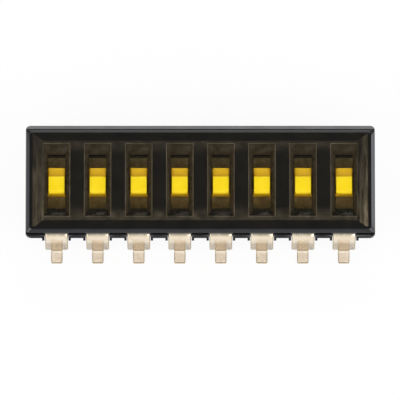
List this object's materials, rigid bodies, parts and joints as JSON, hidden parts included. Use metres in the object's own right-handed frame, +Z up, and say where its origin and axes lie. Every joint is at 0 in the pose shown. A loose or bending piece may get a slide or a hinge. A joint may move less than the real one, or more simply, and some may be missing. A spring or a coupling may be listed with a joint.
{
  "type": "dip switch",
  "caption": "Low flat row of recessed slide switches in a black moulded housing, with gull-wing solder leads along both long sides, for setting options on a circuit board.",
  "frame": {"origin": "middle of the object's footprint, on the board plane that the solder feet rest on", "axes": "+X along the row of slides to the picture's right, +Y across the row to the far leads, +Z up from the board"},
  "size_m": [0.0216, 0.0088, 0.0035],
  "materials": {
    "housing": "moulded satin black",
    "cover": "moulded satin black",
    "film": "clear amber film",
    "slide": "moulded yellow",
    "wiper": "bright rolled strip",
    "terminal": "matte tin plate"
  },
  "bodies": {
    "housing": {"base": "housing", "cover": "cover", "seal_film": "film", "terminal_near_1": "terminal", "terminal_near_2": "terminal", "terminal_near_3": "terminal", "terminal_near_4": "terminal", "terminal_near_5": "terminal", "terminal_near_6": "terminal", "terminal_near_7": "terminal", "terminal_near_8": "terminal", "terminal_far_1": "terminal", "terminal_far_2": "terminal", "terminal_far_3": "terminal", "terminal_far_4": "terminal", "terminal_far_5": "terminal", "terminal_far_6": "terminal", "terminal_far_7": "terminal", "terminal_far_8": "terminal"},
    "slide_1": {"slider_1": "slide", "wiper_1": "wiper"},
    "slide_2": {"slider_2": "slide", "wiper_2": "wiper"},
    "slide_3": {"slider_3": "slide", "wiper_3": "wiper"},
    "slide_4": {"slider_4": "slide", "wiper_4": "wiper"},
    "slide_5": {"slider_5": "slide", "wiper_5": "wiper"},
    "slide_6": {"slider_6": "slide", "wiper_6": "wiper"},
    "slide_7": {"slider_7": "slide", "wiper_7": "wiper"},
    "slide_8": {"slider_8": "slide", "wiper_8": "wiper"}
  },
  "joints": [
    {"name": "slide_1_travel", "type": "slide", "parent": "housing", "child": "slide_1", "axis": [0, 1, 0], "range_m": [-0.00065, 0.00065]},
    {"name": "slide_2_travel", "type": "slide", "parent": "housing", "child": "slide_2", "axis": [0, 1, 0], "range_m": [-0.00065, 0.00065]},
    {"name": "slide_3_travel", "type": "slide", "parent": "housing", "child": "slide_3", "axis": [0, 1, 0], "range_m": [-0.00065, 0.00065]},
    {"name": "slide_4_travel", "type": "slide", "parent": "housing", "child": "slide_4", "axis": [0, 1, 0], "range_m": [-0.00065, 0.00065]},
    {"name": "slide_5_travel", "type": "slide", "parent": "housing", "child": "slide_5", "axis": [0, 1, 0], "range_m": [-0.00065, 0.00065]},
    {"name": "slide_6_travel", "type": "slide", "parent": "housing", "child": "slide_6", "axis": [0, 1, 0], "range_m": [-0.00065, 0.00065]},
    {"name": "slide_7_travel", "type": "slide", "parent": "housing", "child": "slide_7", "axis": [0, 1, 0], "range_m": [-0.00065, 0.00065]},
    {"name": "slide_8_travel", "type": "slide", "parent": "housing", "child": "slide_8", "axis": [0, 1, 0], "range_m": [-0.00065, 0.00065]}
  ]
}
